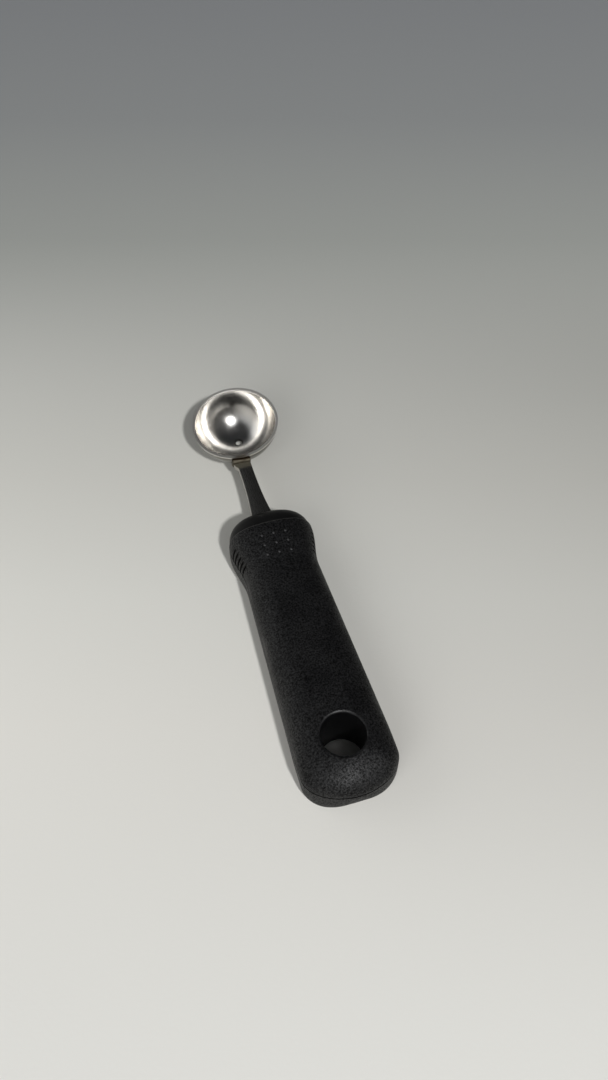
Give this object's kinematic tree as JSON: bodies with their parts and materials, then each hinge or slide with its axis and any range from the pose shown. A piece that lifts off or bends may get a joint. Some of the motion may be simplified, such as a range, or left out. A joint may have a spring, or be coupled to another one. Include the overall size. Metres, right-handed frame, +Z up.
{
  "type": "melon baller",
  "caption": "Round steel scoop with a vent hole, welded to a flat shank in a soft black grip with a hang hole.",
  "frame": {"origin": "on the plane the tool rests on, in the handle's plane of symmetry, under the middle of the tool's length", "axes": "+Y along the handle towards the scoop, +Z up out of the scoop's opening, +X to the right of both"},
  "size_m": [0.0328, 0.169, 0.0208],
  "materials": {
    "polished_steel": "pressed stainless steel, mirror polished",
    "weld_steel": "heat-tinted weld, unground",
    "strap_steel": "rolled stainless strap, satin",
    "core_plastic": "smooth moulded black plastic",
    "grip_rubber": "soft moulded rubber with a fine matt texture"
  },
  "bodies": {
    "root": {"scoop_bowl": "polished_steel", "weld_bead": "weld_steel", "shank": "strap_steel", "handle_core": "core_plastic", "grip_sleeve": "grip_rubber"}
  },
  "joints": []
}
